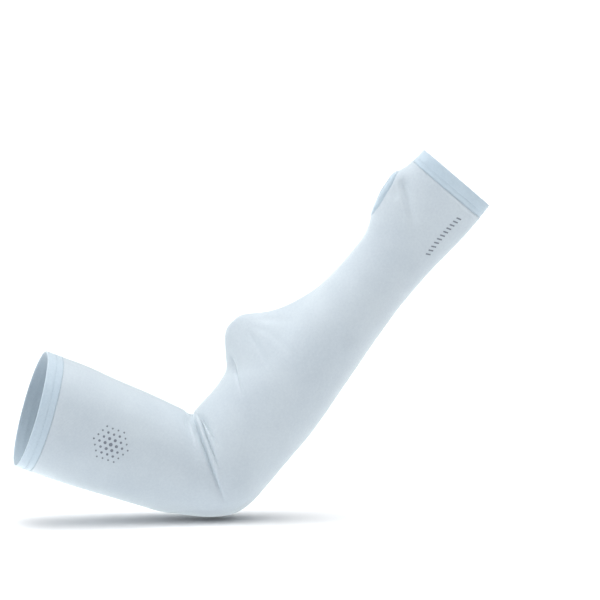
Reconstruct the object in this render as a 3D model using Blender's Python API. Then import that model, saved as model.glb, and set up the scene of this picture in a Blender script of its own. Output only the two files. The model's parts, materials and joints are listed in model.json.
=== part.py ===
"""Cooling arm sleeve with a thumb hole, in the shape that it has on a bent arm.

The sleeve is a thin knitted tube. Its path runs straight down the upper arm, round the elbow on an arc
about the crook, and straight up the forearm to the hand. The origin is the middle of the elbow on that path.
The bend lies in the XZ plane, with the forearm rising towards +X, and the shoulder end swings a little
towards -Y.

Each section of the tube stands across the path. Its height runs towards the crook of the elbow and the
thumb, and its depth runs along Y. Lengths are in metres.
"""

import math
from collections import namedtuple

import bmesh
import bpy
from mathutils import Vector

# Lengths along the path, and the bend
UPPER_LENGTH = 0.126
FOREARM_LENGTH = 0.297
BEND_RADIUS = 0.0505
UPPER_SLOPE = math.radians(-22.5)
FOREARM_SLOPE = math.radians(49.6)
SHOULDER_SWING = math.radians(11.0)
RIM_LEAN = math.radians(6.0)

# Widths across the tube in the plane of the bend, and depths across that plane
RIM_WIDTH = 0.1016
RIM_DEPTH = 0.0940
ELBOW_WIDTH = 0.0930
ELBOW_DEPTH = 0.0880
FOREARM_WIDTH = 0.0890
FOREARM_DEPTH = 0.0800
WRIST_WIDTH = 0.0623
WRIST_DEPTH = 0.0500
HAND_WIDTH = 0.0750
HAND_DEPTH = 0.0400

# The cloth that is pinched and pulled away from the inner forearm
PINCH_HEIGHT = 0.0290
PINCH_TIP_RADIUS = 0.0030

# Cloth, hems and the thumb hole
CLOTH_THICKNESS = 0.0010
HEM_THICKNESS = 0.0016
UPPER_HEM_DEPTH = 0.0140
HAND_HEM_DEPTH = 0.0140
HOLE_LENGTH = 0.0450
HOLE_WIDTH = 0.0240
HOLE_FROM_HAND = 0.0505
BINDING_WIDTH = 0.0045
BINDING_THICKNESS = 0.0014
BINDING_RISE = 0.0008
PIECE_GAP = 0.0003

# Fineness of the facets
POINTS_PER_RING = 30
OUTLINE_STEPS = 180
HOLE_STEPS = 32
FOLD_LINE_STEPS = 10
LEAST_RING_SPACE = 0.0020
SLOPE_STEP = 0.0005
SHARP_ANGLE = math.radians(35)

BEND_ANGLE = FOREARM_SLOPE - UPPER_SLOPE
BEND_LENGTH = BEND_RADIUS * BEND_ANGLE
TOTAL_LENGTH = UPPER_LENGTH + BEND_LENGTH + FOREARM_LENGTH
MIDDLE_SLOPE = (UPPER_SLOPE + FOREARM_SLOPE) / 2
CROOK = Vector((-math.sin(MIDDLE_SLOPE), 0, math.cos(MIDDLE_SLOPE))) * BEND_RADIUS
ACROSS_BEND = Vector((0, 1, 0))

# Each leg of the path: where it starts, and how long it is
LEGS = {
    "upper": (0.0, UPPER_LENGTH),
    "bend": (UPPER_LENGTH, BEND_LENGTH),
    "forearm": (UPPER_LENGTH + BEND_LENGTH, FOREARM_LENGTH),
}
# Each measured place: its width and its depth
PLACES = {
    "rim": (RIM_WIDTH, RIM_DEPTH),
    "elbow": (ELBOW_WIDTH, ELBOW_DEPTH),
    "forearm": (FOREARM_WIDTH, FOREARM_DEPTH),
    "wrist": (WRIST_WIDTH, WRIST_DEPTH),
    "hand": (HAND_WIDTH, HAND_DEPTH),
}

# along is a share of the leg. above and below the path are shares of the place's width, depth of its depth,
# and pinch of the pinch height.
Section = namedtuple("Section", "leg along place above below depth pinch")
SECTIONS = [
    Section("upper", 0.00, "rim", 0.475, 0.525, 1.00, 0.00),
    Section("upper", 0.25, "rim", 0.480, 0.520, 0.99, 0.00),
    Section("upper", 0.50, "rim", 0.463, 0.507, 0.97, 0.00),
    Section("upper", 0.75, "rim", 0.452, 0.485, 0.95, 0.00),
    Section("bend", 0.00, "elbow", 0.468, 0.505, 1.00, 0.00),
    Section("bend", 0.25, "elbow", 0.455, 0.492, 0.99, 0.00),
    Section("bend", 0.45, "elbow", 0.450, 0.540, 0.97, 0.00),
    Section("bend", 0.62, "elbow", 0.450, 0.577, 0.96, 0.00),
    Section("bend", 0.72, "elbow", 0.450, 0.570, 0.96, 0.00),
    Section("bend", 0.86, "elbow", 0.452, 0.523, 0.97, 0.00),
    Section("forearm", 0.00, "forearm", 0.473, 0.532, 1.04, 0.00),
    Section("forearm", 0.07, "forearm", 0.462, 0.532, 1.02, 0.00),
    Section("forearm", 0.135, "forearm", 0.478, 0.532, 1.00, 0.00),
    Section("forearm", 0.16, "forearm", 0.472, 0.530, 1.00, 0.22),
    Section("forearm", 0.20, "forearm", 0.458, 0.520, 0.99, 0.68),
    Section("forearm", 0.24, "forearm", 0.440, 0.508, 0.97, 1.00),
    Section("forearm", 0.29, "forearm", 0.425, 0.487, 0.95, 0.98),
    Section("forearm", 0.33, "forearm", 0.410, 0.474, 0.93, 0.62),
    Section("forearm", 0.38, "forearm", 0.390, 0.456, 0.90, 0.31),
    Section("forearm", 0.44, "forearm", 0.367, 0.433, 0.86, 0.11),
    Section("forearm", 0.50, "forearm", 0.337, 0.413, 0.80, 0.02),
    Section("forearm", 0.55, "forearm", 0.325, 0.400, 0.77, 0.00),
    Section("forearm", 0.60, "wrist", 0.450, 0.552, 1.10, 0.00),
    Section("forearm", 0.68, "wrist", 0.455, 0.545, 1.00, 0.00),
    Section("forearm", 0.72, "wrist", 0.495, 0.545, 0.95, 0.00),
    Section("forearm", 0.75, "wrist", 0.560, 0.548, 0.91, 0.00),
    Section("forearm", 0.79, "hand", 0.540, 0.470, 1.10, 0.00),
    Section("forearm", 0.84, "hand", 0.615, 0.484, 1.05, 0.00),
    Section("forearm", 0.88, "hand", 0.610, 0.493, 1.01, 0.00),
    Section("forearm", 0.93, "hand", 0.530, 0.493, 1.00, 0.00),
    Section("forearm", 1.00, "hand", 0.505, 0.482, 0.98, 0.00),
]

# A fold is a groove along a line drawn on the side of the tube. start and end are shares of the leg.
# rise_start and rise_end run from 1 at the edge by the crook to -1 at the far edge. depth and width are
# lengths, and back is the share of the depth on the side away from -Y.
Fold = namedtuple("Fold", "leg start rise_start end rise_end depth width back")
FOLDS = [
    Fold("bend", 0.58, 1.00, 0.60, -0.85, 0.0036, 0.0034, 0.8),
    Fold("bend", 0.86, 1.00, 0.68, -0.25, 0.0026, 0.0034, 0.7),
    Fold("bend", 0.22, 1.00, 0.45, 0.00, 0.0020, 0.0034, 0.7),
    Fold("forearm", 0.17, 0.95, 0.12, 0.40, 0.0030, 0.0040, 0.8),
    Fold("forearm", 0.28, 1.15, 0.37, 0.35, 0.0018, 0.0040, 0.8),
    Fold("forearm", 0.87, 0.90, 0.82, 0.45, 0.0016, 0.0032, 0.6),
]
# A fold starts at this share of its depth, and has all of it after a quarter of its line
FOLD_START_SHARE = 0.4
FOLD_EASE = 0.25

# How many spaces between rings each stretch of a leg gets
Stretch = namedtuple("Stretch", "leg start end spaces")
STRETCHES = [
    Stretch("upper", 0.0, 1.0, 9),
    Stretch("bend", 0.0, 1.0, 22),
    Stretch("forearm", 0.0, 0.12, 4),
    Stretch("forearm", 0.12, 0.46, 20),
    Stretch("forearm", 0.46, 0.74, 7),
    Stretch("forearm", 0.74, 1.0, 12),
]

# The corners of the binding's section: inwards is a share of its width from the cut edge, lift a share of
# its rise over the cloth, and wall is 1 on its inner skin
Corner = namedtuple("Corner", "inwards lift wall")
BINDING_PROFILE = [
    Corner(0.0, 0.0, 0),
    Corner(0.5, 1.0, 0),
    Corner(1.0, 0.8, 0),
    Corner(1.0, 0.8, 1),
    Corner(0.5, 1.0, 1),
    Corner(0.0, 0.0, 1),
]

KNIT_BLUE = (0.56, 0.66, 0.73, 1.0)
HEM_BLUE = (0.53, 0.63, 0.71, 1.0)
BINDING_BLUE = (0.50, 0.60, 0.69, 1.0)
KNIT_ROUGHNESS = 0.75


def clear_scene():
    for item in list(bpy.data.objects):
        bpy.data.objects.remove(item, do_unlink=True)


def knit_material(name, colour):
    material = bpy.data.materials.new(name)
    material.use_nodes = True
    shader = material.node_tree.nodes["Principled BSDF"]
    shader.inputs["Base Color"].default_value = colour
    shader.inputs["Roughness"].default_value = KNIT_ROUGHNESS
    shader.inputs["Metallic"].default_value = 0.0
    material.diffuse_color = colour
    return material


def distance_on_path(leg, share):
    start, length = LEGS[leg]
    return start + length * share


def path_frame(distance):
    """The path's point at a distance from the upper-arm rim, and its directions along, up and across."""
    past_upper = min(max(distance - UPPER_LENGTH, 0.0), BEND_LENGTH)
    slope = UPPER_SLOPE + past_upper / BEND_RADIUS
    up = Vector((-math.sin(slope), 0, math.cos(slope)))
    forward = Vector((math.cos(slope), 0, math.sin(slope)))
    before_elbow = 1 - past_upper / BEND_LENGTH
    swing = SHOULDER_SWING * before_elbow
    along = forward * math.cos(swing) + ACROSS_BEND * math.sin(swing)
    across = ACROSS_BEND * math.cos(swing) - forward * math.sin(swing)
    drift = -0.5 * math.tan(SHOULDER_SWING) * BEND_LENGTH * before_elbow**2
    straight = distance - UPPER_LENGTH - past_upper
    centre = CROOK - up * BEND_RADIUS + ACROSS_BEND * drift + along * straight
    return centre, along, up, across


def smooth_between(knots, values, at):
    """A smooth curve through the values, which never runs past them between two knots."""
    last = len(knots) - 1
    if at <= knots[0]:
        return values[0]
    if at >= knots[last]:
        return values[last]
    i = max(k for k in range(last) if knots[k] <= at)
    gaps = [knots[k + 1] - knots[k] for k in range(last)]
    rises = [(values[k + 1] - values[k]) / gaps[k] for k in range(last)]

    def slope_at(k):
        if k in (0, last) or rises[k - 1] * rises[k] <= 0:
            return 0.0
        heavy_left = 2 * gaps[k] + gaps[k - 1]
        heavy_right = gaps[k] + 2 * gaps[k - 1]
        return (heavy_left + heavy_right) / (heavy_left / rises[k - 1] + heavy_right / rises[k])

    t = (at - knots[i]) / gaps[i]
    from_left = (2 * t**3 - 3 * t**2 + 1) * values[i] + (t**3 - 2 * t**2 + t) * gaps[i] * slope_at(i)
    from_right = (3 * t**2 - 2 * t**3) * values[i + 1] + (t**3 - t**2) * gaps[i] * slope_at(i + 1)
    return from_left + from_right


def section_sizes(distance):
    """Lengths above and below the path, half the depth, and the pinch's rise, at a distance."""
    knots = [distance_on_path(row.leg, row.along) for row in SECTIONS]
    columns = [
        [row.above * PLACES[row.place][0] for row in SECTIONS],
        [row.below * PLACES[row.place][0] for row in SECTIONS],
        [row.depth * PLACES[row.place][1] / 2 for row in SECTIONS],
        [row.pinch * PINCH_HEIGHT for row in SECTIONS],
    ]
    return [smooth_between(knots, column, distance) for column in columns]


def pulled_side(share, foot, tip):
    """A point on the straight run of cloth from a pulled-out tip, at share 0, to the oval, at share 1."""
    rise = tip - foot[0]
    rounding = PINCH_TIP_RADIUS * rise / foot[1] ** 2
    fall = (math.hypot(share, rounding) - rounding) / (math.hypot(1, rounding) - rounding)
    return tip - rise * fall, foot[1] * share


def section_outline(distance):
    """Evenly spaced (height, depth) points round a section, starting at its lowest point."""
    above, below, half_depth, pinch = section_sizes(distance)
    half_height = (above + below) / 2
    middle = (above - below) / 2
    # straight runs of cloth from the pulled-out tip touch the oval at this angle from its top
    leaves = math.acos(half_height / (half_height + pinch))
    foot = (middle + half_height * math.cos(leaves), half_depth * math.sin(leaves))
    dense = []
    for step in range(OUTLINE_STEPS + 1):
        angle = math.pi - 2 * math.pi * step / OUTLINE_STEPS
        if abs(angle) >= leaves:
            dense.append((middle + half_height * math.cos(angle), half_depth * math.sin(angle)))
        else:
            height, depth = pulled_side(abs(angle) / leaves, foot, above + pinch)
            dense.append((height, math.copysign(depth, angle)))
    lengths = [0.0]
    for before, after in zip(dense, dense[1:]):
        lengths.append(lengths[-1] + math.dist(before, after))
    even = []
    step = 0
    for k in range(POINTS_PER_RING):
        wanted = lengths[-1] * k / POINTS_PER_RING
        while lengths[step + 1] < wanted:
            step += 1
        share = (wanted - lengths[step]) / (lengths[step + 1] - lengths[step])
        even.append([a + (b - a) * share for a, b in zip(dense[step], dense[step + 1])])
    return even


def side_point(distance, height):
    """A point in the plane of the bend, at a height above the path."""
    centre, along, up, across = path_frame(distance)
    point = centre + up * height
    return Vector((point.x, point.z))


def fold_line(fold):
    """The fold's line, seen from the side, as a row of points."""
    points = []
    for step in range(FOLD_LINE_STEPS + 1):
        share = step / FOLD_LINE_STEPS
        distance = distance_on_path(fold.leg, fold.start + (fold.end - fold.start) * share)
        rise = fold.rise_start + (fold.rise_end - fold.rise_start) * share
        above, below, half_depth, pinch = section_sizes(distance)
        height = rise * above if rise > 0 else rise * below
        points.append(side_point(distance, height))
    return points


FOLD_LINES = [fold_line(fold) for fold in FOLDS]


def fold_depth(point, on_back):
    """How far the folds press the cloth in at a point of the tube."""
    seen = Vector((point.x, point.z))
    total = 0.0
    for fold, line in zip(FOLDS, FOLD_LINES):
        nearest = None
        for k in range(FOLD_LINE_STEPS):
            step = line[k + 1] - line[k]
            share = min(max((seen - line[k]).dot(step) / step.length_squared, 0.0), 1.0)
            away = (seen - line[k] - step * share).length
            if nearest is None or away < nearest[0]:
                nearest = (away, (k + share) / FOLD_LINE_STEPS)
        away, share = nearest
        fade = (1 - share**2) * min(1.0, FOLD_START_SHARE + share / FOLD_EASE)
        side = fold.back if on_back else 1.0
        total += fold.depth * side * fade * math.exp(-((away / fold.width) ** 2))
    return total


def ring_points(distance, pressed):
    """One ring of the tube's outer skin, pressed in by the folds where asked."""
    centre, along, up, across = path_frame(distance)
    outline = section_outline(distance)
    lean = math.tan(RIM_LEAN) * max(0.0, 1 - distance / UPPER_LENGTH)
    points = []
    for k, (height, depth) in enumerate(outline):
        point = centre + up * height + across * depth - along * height * lean
        if pressed:
            before = outline[k - 1]
            after = outline[(k + 1) % POINTS_PER_RING]
            run = Vector((after[0] - before[0], after[1] - before[1])).normalized()
            inward = up * -run.y + across * run.x
            if (up * height + across * depth).dot(inward) > 0:
                inward.negate()
            point += inward * fold_depth(point, depth > 0)
        points.append(point)
    return points


def ring_distances(start, end):
    """Distances of the rings between two ends of a tube."""
    found = []
    for stretch in STRETCHES:
        low = distance_on_path(stretch.leg, stretch.start)
        high = distance_on_path(stretch.leg, stretch.end)
        found += [low + (high - low) * k / stretch.spaces for k in range(stretch.spaces)]
    inside = [d for d in found if start + LEAST_RING_SPACE < d < end - LEAST_RING_SPACE]
    return [start] + inside + [end]


def new_object(name, mesh_data, material):
    item = bpy.data.objects.new(name, mesh_data)
    bpy.context.collection.objects.link(item)
    if material:
        mesh_data.materials.append(material)
    return item


def skin_mesh(name, rings):
    """An open tube through rings of points, facing outwards."""
    shape = bmesh.new()
    edges = []
    for ring in rings:
        verts = [shape.verts.new(point) for point in ring]
        edges.append([shape.edges.new((verts[k - 1], verts[k])) for k in range(len(verts))])
    for before, after in zip(edges, edges[1:]):
        bmesh.ops.bridge_loops(shape, edges=before + after)
    bmesh.ops.recalc_face_normals(shape, faces=shape.faces)
    middle = len(rings) // 2
    centre = sum(rings[middle], Vector()) / len(rings[middle])
    probe = min(shape.faces, key=lambda face: (face.calc_center_median() - rings[middle][0]).length)
    if probe.normal.dot(probe.calc_center_median() - centre) < 0:
        bmesh.ops.reverse_faces(shape, faces=shape.faces)
    for face in shape.faces:
        face.smooth = True
    mesh = bpy.data.meshes.new(name)
    shape.to_mesh(mesh)
    shape.free()
    return mesh


def add_wall(item, thickness):
    """Gives an open skin a wall inside it."""
    wall = item.modifiers.new("wall", "SOLIDIFY")
    wall.thickness = thickness
    wall.offset = -1.0
    wall.use_even_offset = True
    wall.use_rim = True


def make_tube(name, start, end, thickness, material, pressed):
    rings = [ring_points(distance, pressed) for distance in ring_distances(start, end)]
    item = new_object(name, skin_mesh(name, rings), material)
    item.data.set_sharp_from_angle(angle=SHARP_ANGLE)
    add_wall(item, thickness)
    return item


def hole_distance():
    return TOTAL_LENGTH - HOLE_FROM_HAND


def oval(half_length, half_width):
    """Points of an oval on the thumb side, as (distance along the path, depth)."""
    turns = [2 * math.pi * k / HOLE_STEPS for k in range(HOLE_STEPS)]
    return [(hole_distance() + half_length * math.cos(t), half_width * math.sin(t)) for t in turns]


def thumb_side(distance, depth):
    """The point of the tube's outer skin over a depth, on the thumb side."""
    above, below, half_depth, pinch = section_sizes(distance)
    half_height = (above + below) / 2
    lift = half_height * math.sqrt(max(0.0, 1 - (depth / half_depth) ** 2))
    centre, along, up, across = path_frame(distance)
    return centre + up * ((above - below) / 2 + lift) + across * depth


def thumb_side_normal(distance, depth):
    down_tube = thumb_side(distance + SLOPE_STEP, depth) - thumb_side(distance - SLOPE_STEP, depth)
    over_tube = thumb_side(distance, depth + SLOPE_STEP) - thumb_side(distance, depth - SLOPE_STEP)
    normal = down_tube.cross(over_tube).normalized()
    centre, along, up, across = path_frame(distance)
    return normal if normal.dot(up) > 0 else -normal


def cut_thumb_hole(body):
    """Cuts the oval hole through the thumb side of the tube alone."""
    centre, along, up, across = path_frame(hole_distance())
    above, below, half_depth, pinch = section_sizes(hole_distance())
    bottom = (above - below) / 2
    top = above + HOLE_WIDTH
    shape = bmesh.new()
    verts = []
    for distance, depth in oval(HOLE_LENGTH / 2, HOLE_WIDTH / 2):
        beside = along * (distance - hole_distance()) + across * depth
        verts.append(shape.verts.new(centre + beside + up * bottom))
    floor = shape.faces.new(verts)
    raised = bmesh.ops.extrude_face_region(shape, geom=[floor])
    new_verts = [part for part in raised["geom"] if isinstance(part, bmesh.types.BMVert)]
    bmesh.ops.translate(shape, verts=new_verts, vec=up * (top - bottom))
    bmesh.ops.recalc_face_normals(shape, faces=shape.faces)
    mesh = bpy.data.meshes.new("hole_cutter")
    shape.to_mesh(mesh)
    shape.free()
    cutter = new_object("hole_cutter", mesh, None)
    cutter.hide_render = True
    cutter.display_type = "WIRE"
    cut = body.modifiers.new("thumb_hole", "BOOLEAN")
    cut.operation = "DIFFERENCE"
    cut.solver = "EXACT"
    cut.object = cutter


def make_binding(material):
    """The turned band that edges the thumb hole, from the cut edge inwards."""
    outer = oval(HOLE_LENGTH / 2 - PIECE_GAP, HOLE_WIDTH / 2 - PIECE_GAP)
    inner_length = HOLE_LENGTH / 2 - PIECE_GAP - BINDING_WIDTH
    inner_width = HOLE_WIDTH / 2 - PIECE_GAP - BINDING_WIDTH
    inner = oval(inner_length, inner_width)
    shape = bmesh.new()
    loops = []
    for corner in BINDING_PROFILE:
        verts = []
        for far, near in zip(outer, inner):
            distance = far[0] + (near[0] - far[0]) * corner.inwards
            depth = far[1] + (near[1] - far[1]) * corner.inwards
            height = corner.lift * BINDING_RISE - corner.wall * BINDING_THICKNESS
            normal = thumb_side_normal(distance, depth)
            verts.append(shape.verts.new(thumb_side(distance, depth) + normal * height))
        loops.append([shape.edges.new((verts[k - 1], verts[k])) for k in range(len(verts))])
    for k in range(len(loops)):
        bmesh.ops.bridge_loops(shape, edges=loops[k - 1] + loops[k])
    bmesh.ops.recalc_face_normals(shape, faces=shape.faces)
    for face in shape.faces:
        face.smooth = True
    mesh = bpy.data.meshes.new("thumb_hole_binding")
    shape.to_mesh(mesh)
    shape.free()
    item = new_object("thumb_hole_binding", mesh, material)
    mesh.set_sharp_from_angle(angle=SHARP_ANGLE)
    return item


def main():
    clear_scene()
    knit = knit_material("smooth_cooling_knit", KNIT_BLUE)
    hem = knit_material("double_hem_knit", HEM_BLUE)
    binding = knit_material("turned_binding_knit", BINDING_BLUE)

    body_start = UPPER_HEM_DEPTH + PIECE_GAP
    body_end = TOTAL_LENGTH - HAND_HEM_DEPTH - PIECE_GAP
    body = make_tube("sleeve_body", body_start, body_end, CLOTH_THICKNESS, knit, True)
    cut_thumb_hole(body)
    make_tube("upper_arm_hem", 0.0, UPPER_HEM_DEPTH, HEM_THICKNESS, hem, False)
    make_tube("hand_hem", TOTAL_LENGTH - HAND_HEM_DEPTH, TOTAL_LENGTH, HEM_THICKNESS, hem, False)
    make_binding(binding)


main()
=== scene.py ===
"""Cooling arm sleeve: knitted cloth, folded hems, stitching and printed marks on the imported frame.

The sleeve keeps its worn shape, bent at the elbow. Its path runs from the upper-arm hem, round the elbow on
an arc about the crook, and along the forearm to the hand hem. Each section stands across the path: its
height runs towards the crook and the thumb hole, and its depth along Y. Lengths are in metres, and +Z is up.
"""

import json
import math
from collections import namedtuple

import bmesh
import bpy
import numpy as np
from bpy.props import FloatProperty, FloatVectorProperty, PointerProperty
from mathutils import Matrix, Vector, noise

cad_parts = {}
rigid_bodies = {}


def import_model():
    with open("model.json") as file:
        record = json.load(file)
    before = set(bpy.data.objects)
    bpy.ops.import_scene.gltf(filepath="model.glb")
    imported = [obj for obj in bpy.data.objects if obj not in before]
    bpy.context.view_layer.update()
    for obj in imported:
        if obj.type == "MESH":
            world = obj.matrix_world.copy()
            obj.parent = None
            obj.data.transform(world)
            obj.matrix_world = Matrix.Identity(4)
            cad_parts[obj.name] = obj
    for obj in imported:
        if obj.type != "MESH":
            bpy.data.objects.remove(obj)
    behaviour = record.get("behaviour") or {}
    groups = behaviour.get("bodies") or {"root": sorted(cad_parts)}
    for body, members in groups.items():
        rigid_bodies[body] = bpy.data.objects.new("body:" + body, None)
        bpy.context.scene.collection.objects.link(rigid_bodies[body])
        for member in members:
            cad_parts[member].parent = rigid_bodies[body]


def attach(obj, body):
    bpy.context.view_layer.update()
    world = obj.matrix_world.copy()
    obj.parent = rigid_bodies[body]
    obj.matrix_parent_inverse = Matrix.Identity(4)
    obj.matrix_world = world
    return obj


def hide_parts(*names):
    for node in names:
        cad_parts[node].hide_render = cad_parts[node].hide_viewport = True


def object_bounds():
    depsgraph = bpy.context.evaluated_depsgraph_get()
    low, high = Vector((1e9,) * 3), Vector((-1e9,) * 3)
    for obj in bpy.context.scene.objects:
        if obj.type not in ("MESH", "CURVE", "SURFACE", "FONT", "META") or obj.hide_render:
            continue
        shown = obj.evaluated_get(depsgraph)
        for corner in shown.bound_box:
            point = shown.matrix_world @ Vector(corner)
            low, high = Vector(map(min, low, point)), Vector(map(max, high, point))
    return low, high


bl_info = {
    "name": "Cooling Arm Sleeve",
    "version": (1, 0, 0),
    "blender": (4, 5, 0),
    "location": "3D View > Sidebar > Arm Sleeve",
    "description": "Dresses the packed frame of a knitted arm sleeve and lights it in a small studio",
    "category": "Object",
}

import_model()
CAD_LOW, CAD_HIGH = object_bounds()
BODY = "root"

# Lengths along the path, and the bend, as in the frame's own source
UPPER_LENGTH = 0.126
FOREARM_LENGTH = 0.297
BEND_RADIUS = 0.0505
UPPER_SLOPE = math.radians(-22.5)
FOREARM_SLOPE = math.radians(49.6)
SHOULDER_SWING = math.radians(11.0)
RIM_LEAN = math.radians(6.0)

# How far the cloth is pulled out above the forearm, and how round its tip is
PINCH_HEIGHT = 0.0290
PINCH_TIP_RADIUS = 0.0026

# Hems and the thumb hole
HEM_DEPTH = 0.0140
HEM_JOIN_GAP = 0.00012
HOLE_LENGTH = 0.0450
HOLE_WIDTH = 0.0240
HOLE_FROM_HAND = 0.0505

# Fineness of the cloth
POINTS_ROUND = 160
OUTLINE_STEPS = 720
SIZE_STEP = 0.0005
SIZE_BLUR = 0.0040
SLOPE_STEP = 0.0004
LEAST_RING_GAP = 0.0006
SHARP_ANGLE = math.radians(50)

BEND_ANGLE = FOREARM_SLOPE - UPPER_SLOPE
BEND_LENGTH = BEND_RADIUS * BEND_ANGLE
TOTAL_LENGTH = UPPER_LENGTH + BEND_LENGTH + FOREARM_LENGTH
MIDDLE_SLOPE = (UPPER_SLOPE + FOREARM_SLOPE) / 2
CROOK = np.array([-math.sin(MIDDLE_SLOPE), 0.0, math.cos(MIDDLE_SLOPE)]) * BEND_RADIUS
ACROSS_BEND = np.array([0.0, 1.0, 0.0])
HOLE_MIDDLE = TOTAL_LENGTH - HOLE_FROM_HAND

LEGS = {
    "upper": (0.0, UPPER_LENGTH),
    "bend": (UPPER_LENGTH, BEND_LENGTH),
    "forearm": (UPPER_LENGTH + BEND_LENGTH, FOREARM_LENGTH),
}
# Widths across the tube in the plane of the bend, and depths across that plane
PLACES = {
    "rim": (0.1016, 0.0940),
    "elbow": (0.0930, 0.0880),
    "forearm": (0.0890, 0.0800),
    "wrist": (0.0623, 0.0500),
    "hand": (0.0750, 0.0400),
}

# along is a share of the leg. above and below the path are shares of the place's width, depth of its depth,
# and pinch of the pinch height.
Section = namedtuple("Section", "leg along place above below depth pinch", defaults=(0.0,))
SECTIONS = [Section(*row) for row in (
    ("upper", 0.00, "rim", 0.475, 0.525, 1.00),
    ("upper", 0.25, "rim", 0.480, 0.520, 0.99),
    ("upper", 0.50, "rim", 0.463, 0.507, 0.97),
    ("upper", 0.75, "rim", 0.452, 0.485, 0.95),
    ("bend", 0.00, "elbow", 0.468, 0.505, 1.00),
    ("bend", 0.25, "elbow", 0.455, 0.492, 0.99),
    ("bend", 0.45, "elbow", 0.450, 0.540, 0.97),
    ("bend", 0.62, "elbow", 0.450, 0.577, 0.96),
    ("bend", 0.72, "elbow", 0.450, 0.570, 0.96),
    ("bend", 0.86, "elbow", 0.452, 0.523, 0.97),
    ("forearm", 0.00, "forearm", 0.473, 0.532, 1.04),
    ("forearm", 0.07, "forearm", 0.462, 0.532, 1.02),
    ("forearm", 0.135, "forearm", 0.478, 0.532, 1.00),
    ("forearm", 0.16, "forearm", 0.472, 0.530, 1.00, 0.22),
    ("forearm", 0.20, "forearm", 0.458, 0.520, 0.99, 0.68),
    ("forearm", 0.24, "forearm", 0.440, 0.508, 0.97, 1.00),
    ("forearm", 0.29, "forearm", 0.425, 0.487, 0.95, 0.98),
    ("forearm", 0.33, "forearm", 0.410, 0.474, 0.93, 0.62),
    ("forearm", 0.38, "forearm", 0.390, 0.456, 0.90, 0.31),
    ("forearm", 0.44, "forearm", 0.367, 0.433, 0.86, 0.11),
    ("forearm", 0.50, "forearm", 0.337, 0.413, 0.80, 0.02),
    ("forearm", 0.55, "forearm", 0.325, 0.400, 0.77),
    ("forearm", 0.60, "wrist", 0.450, 0.552, 1.10),
    ("forearm", 0.68, "wrist", 0.455, 0.545, 1.00),
    ("forearm", 0.72, "wrist", 0.495, 0.545, 0.95),
    ("forearm", 0.75, "wrist", 0.560, 0.548, 0.91),
    ("forearm", 0.79, "hand", 0.540, 0.470, 1.10),
    ("forearm", 0.84, "hand", 0.615, 0.484, 1.05),
    ("forearm", 0.88, "hand", 0.610, 0.493, 1.01),
    ("forearm", 0.93, "hand", 0.530, 0.493, 1.00),
    ("forearm", 1.00, "hand", 0.505, 0.482, 0.98),
)]

# How many spaces between rings of cloth each stretch of a leg gets
Stretch = namedtuple("Stretch", "leg start end spaces")
STRETCHES = [Stretch(*row) for row in (
    ("upper", 0.0, 0.85, 34),
    ("upper", 0.85, 1.0, 14),
    ("bend", 0.0, 1.0, 104),
    ("forearm", 0.0, 0.12, 26),
    ("forearm", 0.12, 0.28, 52),
    ("forearm", 0.28, 0.42, 16),
    ("forearm", 0.42, 0.76, 24),
    ("forearm", 0.76, 0.94, 24),
    ("forearm", 0.94, 1.0, 24),
)]

# Folds and pull lines, drawn on the side view as (x, z) points in millimetres from the middle of the elbow.
# depth is how far the cloth dips, in millimetres, and less than nothing for a ridge. near and far are its
# widths towards the upper-arm hem and the hand hem. soft is 2 for a rounded hollow and 1 for a sharp crease.
# start is its share of the depth at its first point, and back its share on the sleeve's far side.
Fold = namedtuple("Fold", "points depth near far soft start back")
FOLDS = [
    # the notch in the crook
    Fold(((-10.5, 47), (-10.2, 42), (-9.0, 37)),
         1.5, 2.6, 1.4, 1.6, 1.0, 1.0),
    # the deep fold out of the crook, and the ridge beside it
    Fold(((-9.6, 43), (-7.6, 38), (-4.6, 33), (-0.1, 23), (5.0, 10), (9.8, -4), (17, -24), (20, -33)),
         6.8, 3.0, 1.15, 1.2, 0.16, 0.8),
    Fold(((-4.0, 41), (1.4, 30), (6.4, 17), (11.4, 4), (15, -8)),
         -1.0, 1.0, 1.1, 1.8, 0.2, 0.8),
    # the second and third folds on its forearm side
    Fold(((-5.2, 42), (-2.4, 37.5), (2.6, 27), (7.6, 16), (12.2, 5), (15.5, -3)),
         5.4, 1.2, 1.1, 1.2, 0.12, 0.7),
    Fold(((-3.0, 41), (0.4, 36.5), (5.2, 30), (11.0, 20), (15, 11)),
         3.0, 1.0, 2.4, 1.3, 0.12, 0.6),
    # the soft fold on its upper-arm side
    Fold(((-14.2, 42), (-10.5, 33), (-4.5, 13), (-2, 2)),
         1.6, 2.8, 1.3, 1.6, 0.2, 0.7),
    # creases that run down from the pulled-out cloth
    Fold(((24.6, 91), (26.1, 86.5), (28.9, 78.2), (32.6, 66), (35.6, 57.5)),
         3.0, 2.2, 1.0, 1.3, 0.0, 0.8),
    Fold(((30.0, 94), (34.5, 82), (40, 66)),
         -0.5, 3.0, 4.0, 2.0, 0.3, 0.8),
    Fold(((44, 116), (55, 112), (70, 101), (84, 90)),
         0.9, 2.2, 3.2, 1.7, 0.4, 0.8),
    Fold(((46, 121), (62, 122), (82, 119)),
         0.8, 2.4, 3.2, 1.7, 0.4, 0.8),
    Fold(((40, 112), (47, 100), (56, 85), (62, 74)),
         0.8, 2.2, 3.0, 1.7, 0.4, 0.8),
    # soft wrinkles below the thumb hole
    Fold(((161.5, 242), (163.5, 234), (166.5, 224)),
         3.0, 2.2, 2.8, 1.6, 0.4, 0.5),
    Fold(((166.5, 247), (171, 238), (174.5, 227), (178.5, 213), (182, 201)),
         4.4, 2.6, 4.8, 1.7, 0.0, 0.6),
]
# The share of a fold over which it grows to its full depth, and how softly the near side gives way to the far one
FOLD_EASE = 0.22
SIDE_BLEND = 0.006

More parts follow.
